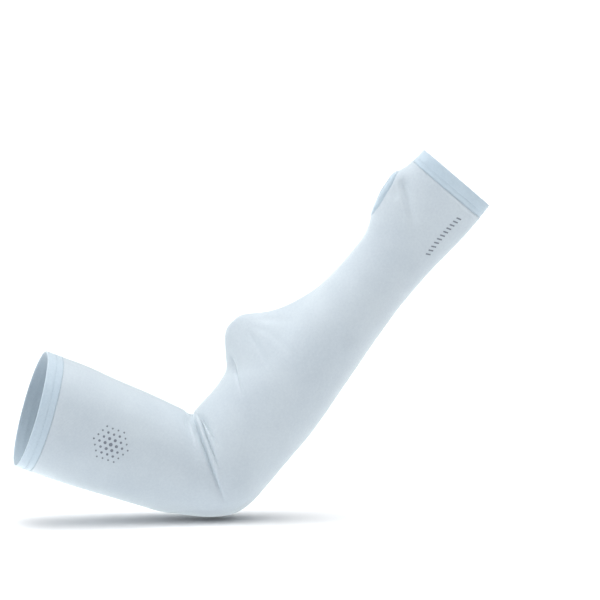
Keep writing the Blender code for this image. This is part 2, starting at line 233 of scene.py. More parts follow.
# The UV map that holds each point's place on the flat cloth, in metres, and how far round the cloth is there
FLAT_MAP = "flat_cloth"
BODY_FLAT_ROUND = 0.25
HEM_FLAT_ROUND = 0.27
BINDING_FLAT_ROUND = 0.105


def linear(code):
    """The linear colour of an sRGB hex code, with full alpha."""
    values = []
    for place in (1, 3, 5):
        value = int(code[place:place + 2], 16) / 255
        values.append(value / 12.92 if value <= 0.04045 else ((value + 0.055) / 1.055) ** 2.4)
    return (*values, 1.0)


def small_length(name, description, default, low, high):
    return FloatProperty(
        name=name, description=description, default=default, min=low, max=high, precision=5, unit="LENGTH")


def dye(name, description, code):
    return FloatVectorProperty(
        name=name, description=description, default=linear(code), size=4, min=0, max=1, subtype="COLOR")


class ArmSleeveSizes(bpy.types.PropertyGroup):
    """Sizes of the cloth and of what is sewn or printed on it."""

    cloth_thickness: small_length("Cloth thickness", "Thickness of the single knit", 0.0007, 0.0004, 0.0010)
    hem_layer: small_length("Hem layer", "Thickness of each layer of a hem", 0.00055, 0.0003, 0.0007)
    hem_overlap: small_length(
        "Hem overlap", "How far a hem's inner layer reaches past its outer one", 0.0016, 0.0, 0.003)
    wrinkle_height: small_length(
        "Wrinkle height", "Height of the cloth's slow unevenness", 0.00022, 0.0, 0.001)
    binding_width: small_length(
        "Binding width", "Width of the turned band round the thumb hole", 0.0046, 0.003, 0.006)
    binding_puff: small_length(
        "Binding puff", "How far the turned band stands over the cloth", 0.0011, 0.0, 0.002)
    stitch_pitch: small_length("Stitch pitch", "Distance from one stitch to the next", 0.0029, 0.002, 0.005)
    thread_width: small_length(
        "Thread width", "Width of the sewing thread as it lies on the cloth", 0.00048, 0.0002, 0.001)
    mark_pitch: small_length(
        "Mark pitch", "Distance between the dots of the printed mark", 0.0052, 0.003, 0.008)


class ArmSleeveFinish(bpy.types.PropertyGroup):
    """Colours and finishes."""

    knit_light: dye("Knit, light", "The knit's lighter yarn", "#B8C2C9")
    # the darker colour is partly uneven dye and partly painted shade in the hollows of the loops
    knit_dark_and_loop_shade: dye("Knit, dark", "The knit's darker yarn, in the hollows of its loops", "#A9B4BE")
    # The hem's colours are the knit's painted darker and bluer: painted shade where the knit lies double and on
    # the turned binding
    shaded_hem_light: dye("Hem, light", "The lighter yarn where the knit lies double", "#B1C1CC")
    shaded_hem_dark: dye("Hem, dark", "The darker yarn where the knit lies double", "#A2B3C1")
    thread_colour: dye("Thread", "The sewing thread", "#B2C3D0")
    film_colour: dye("Print film", "The printed marks", "#6A717D")
    knit_roughness: FloatProperty(
        name="Knit roughness", description="How matt the knit is", default=0.56, min=0, max=1, subtype="FACTOR")
    knit_sheen: FloatProperty(
        name="Knit sheen", description="Soft light off the fibres at the edges",
        default=1.0, min=0, max=1, subtype="FACTOR")


class ArmSleeveStudio(bpy.types.PropertyGroup):
    """The camera and the lights."""

    camera_distance: FloatProperty(
        name="Camera distance", description="From the camera to the middle of the picture",
        default=3.0, min=1.0, max=8.0, unit="LENGTH")
    camera_elevation: FloatProperty(
        name="Camera elevation", description="How far the camera looks down",
        default=math.radians(5.0), min=0.0, max=1.0, subtype="ANGLE")
    picture_width: FloatProperty(
        name="Picture width", description="What the picture spans at the sleeve",
        default=0.516, min=0.3, max=1.0, unit="LENGTH")
    key_power: FloatProperty(
        name="Key power", description="Power of the large soft box above", default=1.2, min=0, unit="POWER")
    fill_power: FloatProperty(
        name="Fill power", description="Power of the thin panel under the sleeve",
        default=0.052, min=0, precision=4, unit="POWER")
    room_light: FloatProperty(
        name="Room light", description="Brightness of the white room against the soft box",
        default=1.05, min=0, max=3)


def unit_rows(rows):
    return rows / np.linalg.norm(rows, axis=-1, keepdims=True)


def path_frame(distance):
    """Points of the path at the distances, and its directions along, up and across."""
    distance = np.asarray(distance, float)
    past_upper = np.clip(distance - UPPER_LENGTH, 0.0, BEND_LENGTH)
    slope = UPPER_SLOPE + past_upper / BEND_RADIUS
    level = np.zeros_like(slope)
    up = np.stack([-np.sin(slope), level, np.cos(slope)], -1)
    forward = np.stack([np.cos(slope), level, np.sin(slope)], -1)
    before_elbow = 1 - past_upper / BEND_LENGTH
    swing = (SHOULDER_SWING * before_elbow)[..., None]
    along = forward * np.cos(swing) + ACROSS_BEND * np.sin(swing)
    across = ACROSS_BEND * np.cos(swing) - forward * np.sin(swing)
    drift = -0.5 * math.tan(SHOULDER_SWING) * BEND_LENGTH * before_elbow ** 2
    straight = distance - UPPER_LENGTH - past_upper
    centre = CROOK - up * BEND_RADIUS + ACROSS_BEND * drift[..., None] + along * straight[..., None]
    return centre, along, up, across


def smooth_curve(knots, values, at):
    """A smooth curve through the values, which never runs past them between two knots."""
    knots = np.asarray(knots, float)
    values = np.asarray(values, float)
    gaps = np.diff(knots)
    rises = np.diff(values) / gaps
    slopes = np.zeros(len(knots))
    turning = rises[:-1] * rises[1:] <= 0
    left = np.where(turning, 1.0, rises[:-1])
    right = np.where(turning, 1.0, rises[1:])
    heavy_left = 2 * gaps[1:] + gaps[:-1]
    heavy_right = gaps[1:] + 2 * gaps[:-1]
    blended = (heavy_left + heavy_right) / (heavy_left / left + heavy_right / right)
    slopes[1:-1] = np.where(turning, 0.0, blended)
    i = np.clip(np.searchsorted(knots, at, side="right") - 1, 0, len(gaps) - 1)
    t = np.clip((at - knots[i]) / gaps[i], 0.0, 1.0)
    from_left = (2 * t**3 - 3 * t**2 + 1) * values[i] + (t**3 - 2 * t**2 + t) * gaps[i] * slopes[i]
    from_right = (3 * t**2 - 2 * t**3) * values[i + 1] + (t**3 - t**2) * gaps[i] * slopes[i + 1]
    return from_left + from_right


def blurred_sizes():
    """The section sizes at even distances, smoothed a little, so that no section shows as a line."""
    knots = [LEGS[row.leg][0] + LEGS[row.leg][1] * row.along for row in SECTIONS]
    columns = [
        [row.above * PLACES[row.place][0] for row in SECTIONS],
        [row.below * PLACES[row.place][0] for row in SECTIONS],
        [row.depth * PLACES[row.place][1] / 2 for row in SECTIONS],
        [row.pinch * PINCH_HEIGHT for row in SECTIONS],
    ]
    reach = int(3 * SIZE_BLUR / SIZE_STEP)
    steps = np.arange(-reach, reach + 1)
    kernel = np.exp(-0.5 * (steps * SIZE_STEP / SIZE_BLUR) ** 2)
    kernel /= kernel.sum()
    at = np.arange(0.0, TOTAL_LENGTH + SIZE_STEP, SIZE_STEP)
    smooth = []
    for column in columns:
        values = smooth_curve(knots, column, at)
        smooth.append(np.convolve(np.pad(values, reach, mode="edge"), kernel, "valid"))
    return at, smooth


SIZES_AT, SIZES = blurred_sizes()


def section_sizes(distance):
    """Lengths above and below the path, half the depth, and the pinch's rise, at the distances."""
    return [np.interp(distance, SIZES_AT, column) for column in SIZES]


def section_rows(distance, count):
    """Heights and depths of evenly spaced points round each section, starting at its lowest point."""
    above, below, half_depth, pinch = (size[:, None] for size in section_sizes(distance))
    half_height = (above + below) / 2
    middle = (above - below) / 2
    leaves = np.arccos(half_height / (half_height + pinch))
    angle = np.linspace(math.pi, -math.pi, OUTLINE_STEPS + 1)[None, :]
    foot_height = middle + half_height * np.cos(leaves)
    foot_depth = np.maximum(half_depth * np.sin(leaves), 1e-6)
    rise = above + pinch - foot_height
    share = np.clip(np.abs(angle) / np.maximum(leaves, 1e-6), 0.0, 1.0)
    rounding = PINCH_TIP_RADIUS * rise / foot_depth**2
    fall = (np.hypot(share, rounding) - rounding) / (np.hypot(1, rounding) - rounding)
    on_oval = np.abs(angle) >= leaves
    height = np.where(on_oval, middle + half_height * np.cos(angle), above + pinch - rise * fall)
    depth = np.where(on_oval, half_depth * np.sin(angle), np.copysign(foot_depth * share, angle))
    lengths = np.hypot(np.diff(height, axis=1), np.diff(depth, axis=1))
    heights = np.empty((len(distance), count))
    depths = np.empty((len(distance), count))
    for k, row in enumerate(lengths):
        reached = np.concatenate([[0.0], np.cumsum(row)])
        wanted = reached[-1] * np.arange(count) / count
        heights[k] = np.interp(wanted, reached, height[k])
        depths[k] = np.interp(wanted, reached, depth[k])
    return heights, depths


def skin_points(distance, heights, depths):
    """Points of the outer skin over sections whose heights and depths are given."""
    centre, along, up, across = (rows[:, None, :] for rows in path_frame(distance))
    lean = math.tan(RIM_LEAN) * np.maximum(0.0, 1 - distance / UPPER_LENGTH)[:, None, None]
    height = heights[..., None]
    return centre + up * height + across * depths[..., None] - along * height * lean


def skin_rows(distance, count):
    """Rows of points on the outer skin, with their outward normals, heights and depths."""
    distance = np.asarray(distance, float)
    heights, depths = section_rows(distance, count)
    points = skin_points(distance, heights, depths)
    ahead = skin_points(distance + SLOPE_STEP, *section_rows(distance + SLOPE_STEP, count))
    behind = skin_points(distance - SLOPE_STEP, *section_rows(distance - SLOPE_STEP, count))
    round_tube = np.roll(points, -1, axis=1) - np.roll(points, 1, axis=1)
    normals = unit_rows(np.cross(ahead - behind, round_tube))
    outward = points - points.mean(axis=1, keepdims=True)
    if np.sum(normals * outward) < 0:
        normals = -normals
    return points, normals, heights, depths


def nearest_on_stroke(seen, stroke):
    """Signed distance from each point to a stroke, positive on the hand hem's side, and the share along."""
    best = np.full(seen.shape[:-1], np.inf)
    signed = np.zeros_like(best)
    shares = np.zeros_like(best)
    lengths = [math.dist(a, b) for a, b in zip(stroke, stroke[1:])]
    reached = 0.0
    for (start, end), length in zip(zip(stroke, stroke[1:]), lengths):
        start = np.array(start)
        step = np.array(end) - start
        away = seen - start
        share = np.clip((away @ step) / (length * length), 0.0, 1.0)
        gap = np.linalg.norm(away - share[..., None] * step, axis=-1)
        side = np.sign(step[0] * away[..., 1] - step[1] * away[..., 0])
        closer = gap < best
        best = np.where(closer, gap, best)
        signed = np.where(closer, gap * side, signed)
        shares = np.where(closer, (reached + share * length) / sum(lengths), shares)
        reached += length
    return signed, shares


def fold_depths(points, depths):
    """How far the folds press the cloth in at each point, in metres."""
    seen = points[..., (0, 2)] * 1000
    on_back = 0.5 + 0.5 * np.tanh(depths / SIDE_BLEND)
    total = np.zeros(seen.shape[:-1])
    for fold in FOLDS:
        signed, share = nearest_on_stroke(seen, fold.points)
        width = np.where(signed > 0, fold.far, fold.near)
        grow = np.minimum(1.0, fold.start + share / FOLD_EASE)
        fade = grow * (1 - share**2)
        side = 1 + (fold.back - 1) * on_back
        total += fold.depth * side * fade * np.exp(-(np.abs(signed / width) ** fold.soft))
    return total / 1000


# Waves to a metre in the cloth's unevenness
SLOW_WAVES = 34
QUICK_WAVES = 90
QUICK_SHIFT = Vector((7, 3, 1))


def uneven_heights(points, height):
    """The slow unevenness of worn cloth, the same each time."""
    values = np.array([
        noise.noise(Vector(point) * SLOW_WAVES) + 0.5 * noise.noise(Vector(point) * QUICK_WAVES + QUICK_SHIFT)
        for point in points.reshape(-1, 3)
    ])
    return values.reshape(points.shape[:-1]) * height


def ring_distances(start, end):
    """Distances of the rings of cloth between two ends."""
    found = []
    for stretch in STRETCHES:
        base, length = LEGS[stretch.leg]
        low = base + length * stretch.start
        high = base + length * stretch.end
        found += [low + (high - low) * k / stretch.spaces for k in range(stretch.spaces)]
    inside = [d for d in found if start + LEAST_RING_GAP < d < end - LEAST_RING_GAP]
    return np.array([start] + inside + [end])


def smooth_step(value):
    value = np.clip(value, 0.0, 1.0)
    return value * value * (3 - 2 * value)


def round_length(row):
    """The length round a closed row of points."""
    return np.linalg.norm(np.roll(row, -1, axis=0) - row, axis=1).sum()


def reached_along(line):
    """How far along a line each of its points lies."""
    return np.concatenate([[0.0], np.cumsum(np.hypot(*np.diff(line, axis=0).T))])


def oval_reach(distance, depth):
    """How far out from the middle of the thumb hole a point lies: 1 on its edge."""
    return np.hypot((distance - HOLE_MIDDLE) / (HOLE_LENGTH / 2), depth / (HOLE_WIDTH / 2))


def thumb_side(distance, depth):
    """Points of the outer skin over depths on the thumb hole's side, with their outward normals."""

    def lifted(at, aside):
        above, below, half_depth, _ = section_sizes(at)
        lift = (above + below) / 2 * np.sqrt(np.maximum(0.0, 1 - (aside / half_depth) ** 2))
        centre, _, up, across = path_frame(at)
        return centre + up * ((above - below) / 2 + lift)[..., None] + across * aside[..., None]

    distance = np.asarray(distance, float)
    depth = np.asarray(depth, float)
    down_tube = lifted(distance + SLOPE_STEP, depth) - lifted(distance - SLOPE_STEP, depth)
    over_tube = lifted(distance, depth + SLOPE_STEP) - lifted(distance, depth - SLOPE_STEP)
    normals = unit_rows(np.cross(down_tube, over_tube))
    up = path_frame(distance)[2]
    normals *= np.sign(np.sum(normals * up, axis=-1))[..., None]
    return lifted(distance, depth), normals


def deselect_all():
    for item in bpy.context.view_layer.objects:
        item.select_set(False)


def make_active(item):
    deselect_all()
    item.select_set(True)
    bpy.context.view_layer.objects.active = item


def apply_transforms():
    bpy.ops.object.transform_apply(location=True, rotation=True, scale=True)


def grid_mesh(name, points, flat_across, flat_along, keep):
    """A quad mesh through rows of points that close round, with a UV map in metres of flat cloth.

    keep says which faces stay, and None keeps them all.
    """
    rows, count = points.shape[:2]
    row, col = np.meshgrid(np.arange(rows - 1), np.arange(count), indexing="ij")
    round_face = ((0, 0), (1, 0), (1, 1), (0, 1))
    faces = np.stack([(row + ahead) * count + (col + aside) % count for aside, ahead in round_face], -1)
    faces = faces.reshape(-1, 4)
    across_step = flat_across / count
    corners = np.stack([
        np.stack([(col + aside) * across_step, flat_along[row + ahead]], -1) for aside, ahead in round_face
    ], 2).reshape(-1, 4, 2)
    if keep is not None:
        faces = faces[keep.reshape(-1)]
        corners = corners[keep.reshape(-1)]
    used, where = np.unique(faces, return_inverse=True)
    mesh = bpy.data.meshes.new(name)
    mesh.from_pydata(points.reshape(-1, 3)[used].tolist(), [], where.reshape(-1, 4).tolist())
    layer = mesh.uv_layers.new(name=FLAT_MAP)
    layer.data.foreach_set("uv", corners.reshape(-1).astype(np.float32))
    mesh.update()
    return mesh


def face_outwards(mesh, point, outward):
    """Turns the faces over if the one nearest a point doesn't look the way that is given."""
    shape = bmesh.new()
    shape.from_mesh(mesh)
    shape.faces.ensure_lookup_table()
    nearest = min(shape.faces, key=lambda face: (face.calc_center_median() - Vector(point)).length)
    if nearest.normal.dot(Vector(outward)) < 0:
        bmesh.ops.reverse_faces(shape, faces=shape.faces)
        shape.to_mesh(mesh)
    shape.free()


def add_wall(item, thickness, offset):
    """Gives a skin of cloth its thickness, inwards at offset -1 and to both sides at 0."""
    wall = item.modifiers.new("cloth", "SOLIDIFY")
    wall.thickness = thickness
    wall.offset = offset
    wall.use_even_offset = True
    wall.use_rim = True
    make_active(item)
    bpy.ops.object.modifier_apply(modifier=wall.name)
    item.data.shade_smooth()
    bpy.ops.object.shade_smooth_by_angle(angle=SHARP_ANGLE)


def dress(item, material, slot=None, node=None):
    """Gives a finished piece its material and its body, and hides the CAD node that it stands for. slot is not
    used.
    """
    item.data.materials.clear()
    item.data.materials.append(material)
    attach(item, BODY)
    if node:
        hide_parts(node)
    return item


# A row and a column of each kind of cloth at which its normal is well clear of edges and folds
HEM_SPOT = (8, 60)
BINDING_SPOT = (6, 36)
BODY_SPOT = (40, 30)


def lay_cloth(name, points, normals, spot, flat_across, flat_along, wall, dressing, keep=None):
    """Makes a piece of cloth from its skin. spot is a point whose normal shows which way is out."""
    mesh = grid_mesh(name, points, flat_across, flat_along, keep)
    face_outwards(mesh, points[spot], normals[spot])
    item = bpy.data.objects.new(name, mesh)
    bpy.context.scene.collection.objects.link(item)
    add_wall(item, *wall)
    return dress(item, *dressing)


def feed(material, node, links):
    """Gives each socket that is named a value, or a (node, output) pair that it is fed from."""
    for name, value in links.items():
        if isinstance(value, tuple) and isinstance(value[0], bpy.types.Node):
            material.node_tree.links.new(value[0].outputs[value[1]], node.inputs[name])
        else:
            node.inputs[name].default_value = value


def add_node(material, kind, settings=None, links=None):
    """Adds a shader node to a material or a world, with its settings and what its sockets are fed."""
    node = material.node_tree.nodes.new("ShaderNode" + kind)
    for name, value in (settings or {}).items():
        setattr(node, name, value)
    feed(material, node, links or {})
    return node


def new_material(name):
    material = bpy.data.materials.new(name)
    material.use_nodes = True
    return material, material.node_tree.nodes["Principled BSDF"]


# Sizes of the patterns in millimetres: a loop of the knit, and one turn of the thread's yarns
LOOP_WIDTH = 0.95
LOOP_HEIGHT = 0.8
THREAD_TURN = 0.5
# How much darker the thread is painted between its turns: painted shade in the grooves of its twist
THREAD_SHADE = 0.85
# Blender's Wave texture multiplies its coordinates by this
WAVE_FACTOR = 20
MULTIPLY_ADD = {"operation": "MULTIPLY_ADD"}


def wave_scale(millimetres):
    """The scale that gives a Wave texture in metres this period."""
    return 2 * math.pi / WAVE_FACTOR / (millimetres / 1000)


def knit_material(name, light, dark, finish):
    """Circular-knitted nylon and elastane jersey: fine even loops, a soft sheen and a cool, nearly plain colour.

    The real loops are about 0.4 mm wide, too fine to show, so they are drawn coarser, with painted shade in their
    hollows.
    """
    material, shader = new_material(name)
    flat = add_node(material, "UVMap", {"uv_map": FLAT_MAP})
    place = add_node(material, "TexCoord")
    across_along = add_node(material, "SeparateXYZ", links={"Vector": (flat, "UV")})
    # each loop leans one way on its left half and the other on its right, which makes the V of jersey
    lean = add_node(material, "Math", {"operation": "PINGPONG"}, {0: (across_along, "X"), 1: LOOP_WIDTH / 2000})
    leaning = add_node(material, "Math", MULTIPLY_ADD, {0: (lean, "Value"), 1: 1.1, 2: (across_along, "Y")})
    loops = add_node(material, "CombineXYZ", links={"X": (across_along, "X"), "Y": (leaning, "Value")})
    courses = add_node(material, "TexWave", {"bands_direction": "Y"},
        {"Vector": (loops, "Vector"), "Scale": wave_scale(LOOP_HEIGHT), "Distortion": 0.0})
    wales = add_node(material, "TexWave", {"bands_direction": "X"},
        {"Vector": (loops, "Vector"), "Scale": wave_scale(LOOP_WIDTH), "Distortion": 0.3, "Detail": 1.0,
         "Detail Scale": 2.0})
    relief = add_node(material, "Math", MULTIPLY_ADD, {0: (courses, "Fac"), 1: 0.5, 2: (wales, "Fac")})
    # yarn that takes the dye a little unevenly, in specks of 2 mm and in patches of 4 cm
    specks = add_node(material, "TexNoise", links={
        "Vector": (place, "Object"), "Scale": 520.0, "Detail": 2.0, "Roughness": 0.6})
    patches = add_node(material, "TexNoise", links={
        "Vector": (place, "Object"), "Scale": 26.0, "Detail": 2.0, "Roughness": 0.5})
    uneven = add_node(material, "Math", MULTIPLY_ADD, {0: (patches, "Fac"), 1: 0.9, 2: (specks, "Fac")})
    # the relief paints the loops' hollows in the darker colour: painted shade, over the uneven dye
    dye_and_loop_shade = add_node(material, "Math", MULTIPLY_ADD, {0: (relief, "Value"), 1: 0.35, 2: (uneven, "Value")})
    share = add_node(material, "MapRange", links={
        "Value": (dye_and_loop_shade, "Value"), "From Min": 0.75, "From Max": 1.65, "To Min": 0.0, "To Max": 1.0})
    colour = add_node(material, "Mix", {"data_type": "RGBA"},
        {"Factor": (share, "Result"), 6: tuple(dark), 7: tuple(light)})
    polish = add_node(material, "MapRange", links={
        "Value": (uneven, "Value"), "From Min": 0.5, "From Max": 1.4, "To Min": finish.knit_roughness + 0.06,
        "To Max": finish.knit_roughness - 0.06})
    bump = add_node(material, "Bump", links={
        "Height": (relief, "Value"), "Strength": 0.32, "Distance": 0.00012})
    soft_bump = add_node(material, "Bump", links={
        "Height": (specks, "Fac"), "Strength": 0.15, "Distance": 0.00025, "Normal": (bump, "Normal")})
    feed(material, shader,
        {"Base Color": (colour, 2), "Roughness": (polish, "Result"), "Normal": (soft_bump, "Normal"),
         "Metallic": 0.0, "IOR": 1.5, "Specular IOR Level": 0.6, "Sheen Weight": finish.knit_sheen,
         "Sheen Roughness": 0.5, "Sheen Tint": linear("#EEF8FB")})
    return material


def thread_material(finish):
    """Twisted polyester sewing thread: a shade deeper than the knit, with a slight gloss on each turn."""
    material, shader = new_material("twisted_polyester_thread")
    place = add_node(material, "TexCoord")
    turns = add_node(material, "TexWave", {"bands_direction": "DIAGONAL"},
        {"Vector": (place, "Object"), "Scale": wave_scale(THREAD_TURN), "Distortion": 0.6})
    worn = add_node(material, "TexNoise", links={"Vector": (place, "Object"), "Scale": 300.0, "Detail": 2.0})
    share = add_node(material, "Math", {"operation": "MULTIPLY"}, {0: (turns, "Fac"), 1: (worn, "Fac")})
    # the grooves between the turns take the darker colour: painted shade
    deep = [value * THREAD_SHADE for value in finish.thread_colour[:3]] + [1.0]
    colour = add_node(material, "Mix", {"data_type": "RGBA"},
        {"Factor": (share, "Value"), 6: tuple(deep), 7: tuple(finish.thread_colour)})
    bump = add_node(material, "Bump", links={"Height": (turns, "Fac"), "Strength": 0.3, "Distance": 0.00006})
    feed(material, shader,
        {"Base Color": (colour, 2), "Normal": (bump, "Normal"), "Roughness": 0.5, "Sheen Weight": 0.2})
    return material


def film_material(finish):
    """Heat-pressed polyurethane film: thin, matt and dark grey, a little rubbed, so the knit shows through it."""
    material, shader = new_material("heat_pressed_print_film")
    place = add_node(material, "TexCoord")
    rubbed = add_node(material, "TexNoise", links={
        "Vector": (place, "Object"), "Scale": 700.0, "Detail": 3.0, "Roughness": 0.7})
    share = add_node(material, "MapRange", links={
        "Value": (rubbed, "Fac"), "From Min": 0.45, "From Max": 0.75, "To Min": 0.0, "To Max": 0.45})
    colour = add_node(material, "Mix", {"data_type": "RGBA"},
        {"Factor": (share, "Result"), 6: tuple(finish.film_colour), 7: linear("#98A1AC")})
    bump = add_node(material, "Bump", links={"Height": (rubbed, "Fac"), "Strength": 0.2, "Distance": 0.00005})
    feed(material, shader, {"Base Color": (colour, 2), "Normal": (bump, "Normal"), "Roughness": 0.55})
    return material


def paper_material():
    """Seamless white studio paper: quite matt, with a faint tooth."""
    material, shader = new_material("seamless_white_paper")
    place = add_node(material, "TexCoord")
    tooth = add_node(material, "TexNoise", links={"Vector": (place, "Object"), "Scale": 900.0, "Detail": 2.0})
    colour = add_node(material, "Mix", {"data_type": "RGBA"},
        {"Factor": (tooth, "Fac"), 6: linear("#F4F5F6"), 7: linear("#FAFBFC")})
    feed(material, shader, {"Base Color": (colour, 2), "Roughness": 0.9, "Specular IOR Level": 0.2})
    return material


# rim is where the hem's open edge lies on the path, and direction the way its cloth runs from there. rows are
# how far from the rim its stitches lie, rise is how far its stitched edge stands up, and flat_length is its cut
# length.
Hem = namedtuple("Hem", "name rim direction rows rise flat_length stands_for")
HEMS = (
    Hem("upper_hem", 0.0, 1, (0.0078, 0.0133), 0.00005, 0.262, "upper_arm_hem"),
    Hem("hand_hem", TOTAL_LENGTH, -1, (0.0092, 0.0133), 0.00008, 0.165, "hand_hem"),
)
HEM_POINTS_ROUND = 240
# Points along a hem's outer layer, round its fold and along its inner layer
HEM_STEPS = (21, 8, 14)
HEM_TURN_SHARE = 0.75
HEM_PUFF = 0.00012
ROW_DENT = 0.00016
ROW_DENT_WIDTH = 0.0008
EDGE_RISE_WIDTH = 0.0011


def hem_profile(sizes):
    """The middle line of a folded hem, as (distance from the rim, distance inwards) points.

    It runs from the stitched edge of the outer layer, round the fold at the rim, and back along the inner one.
    """
    layer = sizes.hem_layer
    turn = layer * HEM_TURN_SHARE
    outer = layer / 2
    inner = outer + 2 * turn
    start = turn + outer
    points = [(value, outer) for value in np.linspace(HEM_DEPTH - HEM_JOIN_GAP, start, HEM_STEPS[0])]
    for angle in np.linspace(0, math.pi, HEM_STEPS[1])[1:-1]:
        points.append((start - turn * math.sin(angle), outer + turn - turn * math.cos(angle)))
    points += [(value, inner) for value in np.linspace(start, HEM_DEPTH + sizes.hem_overlap, HEM_STEPS[2])]
    return np.array(points)


def hem_dents(from_rim, hem):
    """How far a hem dips at its stitch rows, with the cloth puffed up between them."""
    dents = sum(np.exp(-(((from_rim - row) / ROW_DENT_WIDTH) ** 2)) for row in hem.rows) * ROW_DENT
    puff = HEM_PUFF * np.sin(np.clip(from_rim / HEM_DEPTH, 0, 1) * math.pi)
    return dents - puff


def edge_rise(from_rim, hem):
    """How far the stitched edge of a hem's outer layer stands over the cloth beside it."""
    return hem.rise * np.exp(-(((HEM_DEPTH - from_rim) / EDGE_RISE_WIDTH) ** 2))


# The visible band and its turned edge, as shares of its width and of its puff
BAND = (
    (0.26, 0.30), (0.38, 0.68), (0.54, 0.90), (0.70, 0.84), (0.85, 0.55), (0.95, 0.12), (1.0, -0.35),
    (0.97, -0.85), (0.86, -1.25), (0.64, -1.45), (0.38, -1.50), (0.15, -1.52),
)


def binding_profile(sizes):
    """The middle line of the binding, as (distance inwards from the cut edge, lift over the skin) points.

    It comes out from under the edge of the body's cloth, rises over the puffed band, and runs round the fold and
    back under the cloth.
    """
    tucked = [(-0.0012, -0.00105), (-0.0006, -0.00102), (0.0001, -0.00090), (0.0005, -0.00055),
              (sizes.binding_width * 0.19, -0.00010)]
    under = [(-0.0006, -sizes.binding_puff * 1.52), (-0.0018, -sizes.binding_puff * 1.52)]
    return np.concatenate([tucked, np.array(BAND) * (sizes.binding_width, sizes.binding_puff), under])


BINDING_POINTS_ROUND = 144
BINDING_LAYER = 0.0005
BINDING_SEAM = np.array([(0.00045, -0.00025)])
# The share of its puff that the band keeps at the hole's two ends, and how soon it has the whole of it
END_PUFF = 0.30
PUFF_GROWTH = 1.3


def binding_points(profile, count):
    """Points of the binding: one row for each point of its profile. It lies flatter at the hole's two ends."""
    turns = 2 * math.pi * np.arange(count) / count
    distances = []
    depths = []
    for inwards in profile[:, 0]:
        distances.append(HOLE_MIDDLE + (HOLE_LENGTH / 2 - inwards) * np.cos(turns))
        depths.append((HOLE_WIDTH / 2 - inwards) * np.sin(turns))
    points, normals = thumb_side(np.array(distances), np.array(depths))
    puffed = END_PUFF + (1 - END_PUFF) * smooth_step(np.abs(np.sin(turns)) * PUFF_GROWTH)
    lifts = np.where(profile[:, 1:] > 0, profile[:, 1:] * puffed, profile[:, 1:])
    return points + normals * lifts[..., None], normals


# A stitch is shorter than its pitch, the binding's are closer, and the thread lies a little over the cloth
STITCH_SHARE = 0.86
BINDING_PITCH_SHARE = 0.9
THREAD_LIFT = 0.15
# Each end of a stitch runs on and falls by these shares of its length and width, and narrows to the third
STITCH_ENDS = ((0.13, -0.18, 0.85), (0.10, -0.42, 0.55))
FINE_POINTS = 400


def model_stitch(length, width):
    """One stitch of thread, lying along X, whose thin ends turn down into the cloth."""
    deselect_all()
    bpy.ops.mesh.primitive_cylinder_add(
        vertices=6, radius=width / 2, depth=length * 0.5, location=(0, 0, 0), rotation=(0, math.pi / 2, 0))
    stitch = bpy.context.active_object
    apply_transforms()
    bpy.ops.object.mode_set(mode="EDIT")
    for side in (-1, 1):
        for run, fall, thinner in STITCH_ENDS:
            bpy.ops.mesh.select_all(action="DESELECT")
            shape = bmesh.from_edit_mesh(stitch.data)
            end = max(shape.faces, key=lambda face: face.calc_center_median().x * side)
            end.select = True
            shape.select_flush(True)
            bmesh.update_edit_mesh(stitch.data)
            bpy.ops.mesh.extrude_region_move(
                TRANSFORM_OT_translate={"value": (side * length * run, 0, width * fall)})
            bpy.ops.transform.resize(value=(1, thinner, thinner))
    bpy.ops.object.mode_set(mode="OBJECT")
    stitch.data.shade_smooth()
    return stitch


def copy_along(template, places, name):
    """Copies a shape to each place, a matrix, and joins the copies into one piece."""
    copies = []
    for matrix in places:
        copy = template.copy()
        copy.data = template.data.copy()
        copy.matrix_world = matrix
        bpy.context.scene.collection.objects.link(copy)
        copies.append(copy)
    deselect_all()
    for copy in copies:
        copy.select_set(True)
    bpy.context.view_layer.objects.active = copies[0]
    bpy.ops.object.join()
    piece = bpy.context.view_layer.objects.active
    apply_transforms()
    piece.name = name
    piece.data.name = name
    return piece


def place_matrix(point, run, normal):
    """A place whose X runs along the cloth and whose Z stands off it."""
    z = Vector(normal).normalized()
    y = z.cross(Vector(run)).normalized()
    x = y.cross(z)
    rows = Matrix((x, y, z)).transposed().to_4x4()
    rows.translation = Vector(point)
    return rows


def row_places(points, normals, lift):
    """Places for stitches along a closed row of points."""
    runs = np.roll(points, -1, axis=0) - np.roll(points, 1, axis=0)
    return [
        place_matrix(point + normal * lift, run, normal)
        for point, normal, run in zip(points, normals, runs)
    ]


def hem_row_places(from_rim, hem, sizes):
    """Places for the stitches of one row round a hem."""
    distance = np.array([hem.rim + hem.direction * from_rim])
    count = round(round_length(skin_rows(distance, FINE_POINTS)[0][0]) / sizes.stitch_pitch)
    points, normals = skin_rows(distance, count)[:2]
    lift = edge_rise(from_rim, hem) - hem_dents(from_rim, hem) + sizes.thread_width * THREAD_LIFT
    return row_places(points[0], normals[0], lift)


class SLEEVE_OT_stitching(bpy.types.Operator):
    """Sews the two rows of stitches round each hem and the row round the thumb hole"""

    bl_idname = "arm_sleeve.stitching"
    bl_label = "Stitching"

    def execute(self, context):
        sizes = context.scene.arm_sleeve_sizes
        thread = thread_material(context.scene.arm_sleeve_finish)
        stitch = model_stitch(sizes.stitch_pitch * STITCH_SHARE, sizes.thread_width)
        for hem in HEMS:
            places = []
            for row in hem.rows:
                places += hem_row_places(row, hem, sizes)
            dress(copy_along(stitch, places, hem.name + "_stitching"), thread, "hem")
        length = round_length(binding_points(BINDING_SEAM, FINE_POINTS)[0][0])
        count = round(length / (sizes.stitch_pitch * BINDING_PITCH_SHARE))
        points, normals = binding_points(BINDING_SEAM, count)
        places = row_places(points[0], normals[0], 0.0)
        dress(copy_along(stitch, places, "binding_stitching"), thread, "binding")
        bpy.data.objects.remove(stitch)
        return {"FINISHED"}


